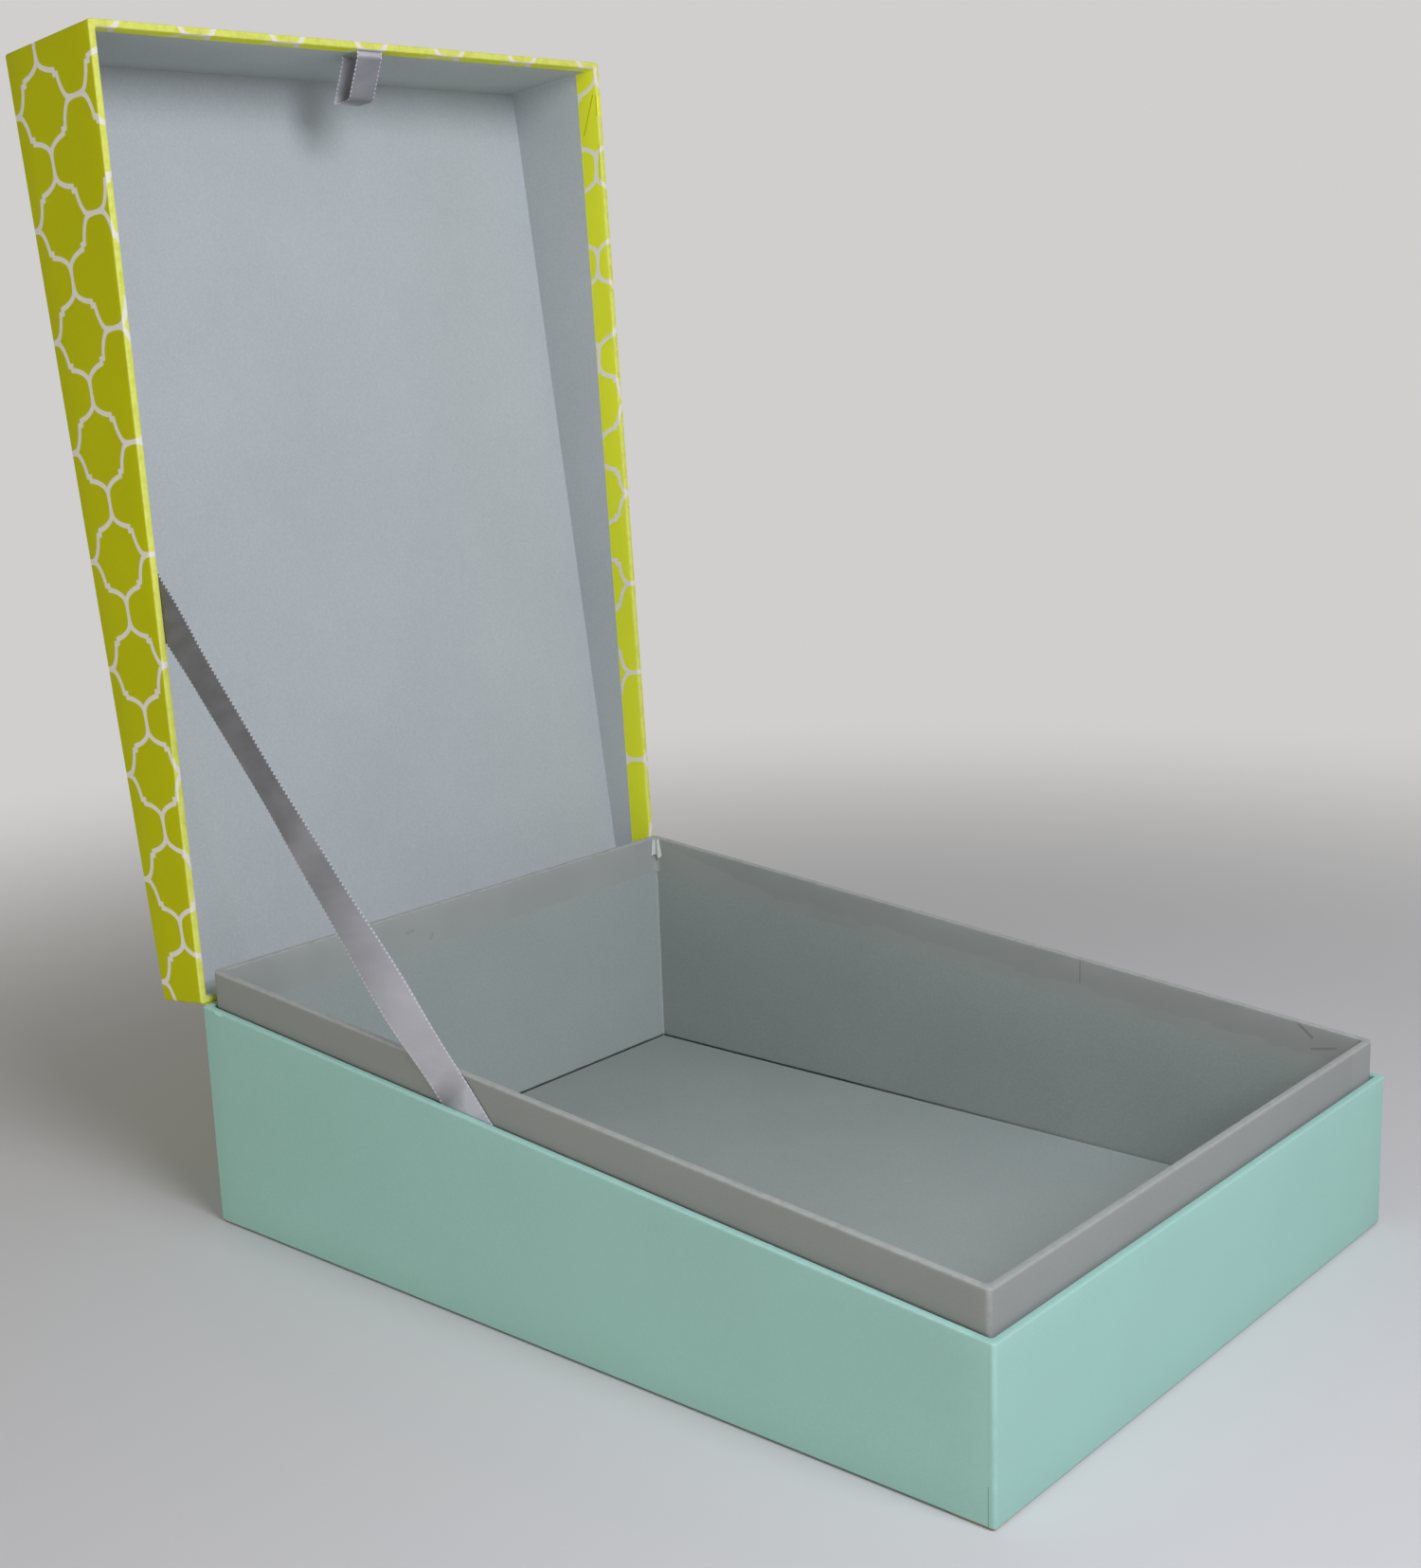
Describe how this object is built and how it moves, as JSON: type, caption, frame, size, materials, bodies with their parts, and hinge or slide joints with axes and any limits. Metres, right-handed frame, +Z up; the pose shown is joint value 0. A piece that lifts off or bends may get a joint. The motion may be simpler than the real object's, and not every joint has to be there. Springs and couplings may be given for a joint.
{
  "type": "document box",
  "caption": "Open hinged document box of paper-wrapped board with a shoulder neck, a satin ribbon lid stay and a ribbon pull tab in the lid.",
  "frame": {"origin": "middle of the underside, on the surface that the box stands on", "axes": "+X from the hinge end to the free end, +Y from the side with the ribbon stay to the other side, +Z up"},
  "size_m": [0.393, 0.238, 0.4121],
  "materials": {
    "greyboard": "raw grey board",
    "stay_tape": "gummed paper tape",
    "mint_paper": "matt dyed covering paper",
    "grey_paper": "matt covering paper with worn edges",
    "green_grey_lining": "fine-textured lining paper",
    "blue_grey_lining": "fine-textured lining paper",
    "lime_paper": "printed covering paper with a pale trellis",
    "satin_ribbon": "grey satin ribbon"
  },
  "bodies": {
    "base": {"base_bottom_sheet": "mint_paper", "base_floor_board": "greyboard", "base_front_board": "greyboard", "base_hinge_board": "greyboard", "base_near_board": "greyboard", "base_far_board": "greyboard", "base_corner_stays": "stay_tape", "base_wrap": "mint_paper", "neck_front_board": "greyboard", "neck_hinge_board": "greyboard", "neck_near_board": "greyboard", "neck_far_board": "greyboard", "neck_wrap": "grey_paper", "base_wall_lining": "green_grey_lining", "floor_pad_board": "greyboard", "floor_pad_cover": "green_grey_lining", "hinge_base_leaf": "lime_paper"},
    "lid": {"lid_top_board": "greyboard", "lid_front_board": "greyboard", "lid_hinge_board": "greyboard", "lid_near_board": "greyboard", "lid_far_board": "greyboard", "lid_corner_stays": "stay_tape", "lid_wrap": "lime_paper", "lid_panel_lining": "blue_grey_lining", "lid_wall_lining": "blue_grey_lining", "hinge_lid_leaf": "lime_paper", "pull_tab": "satin_ribbon", "ribbon_stay": "satin_ribbon"}
  },
  "joints": [
    {"name": "lid_hinge", "type": "hinge", "parent": "base", "child": "lid", "pos_m": [-0.1651, 0, 0.08115], "axis": [0, 1, 0], "range_deg": [0, 97], "deforming": ["ribbon_stay", "pull_tab"]}
  ]
}
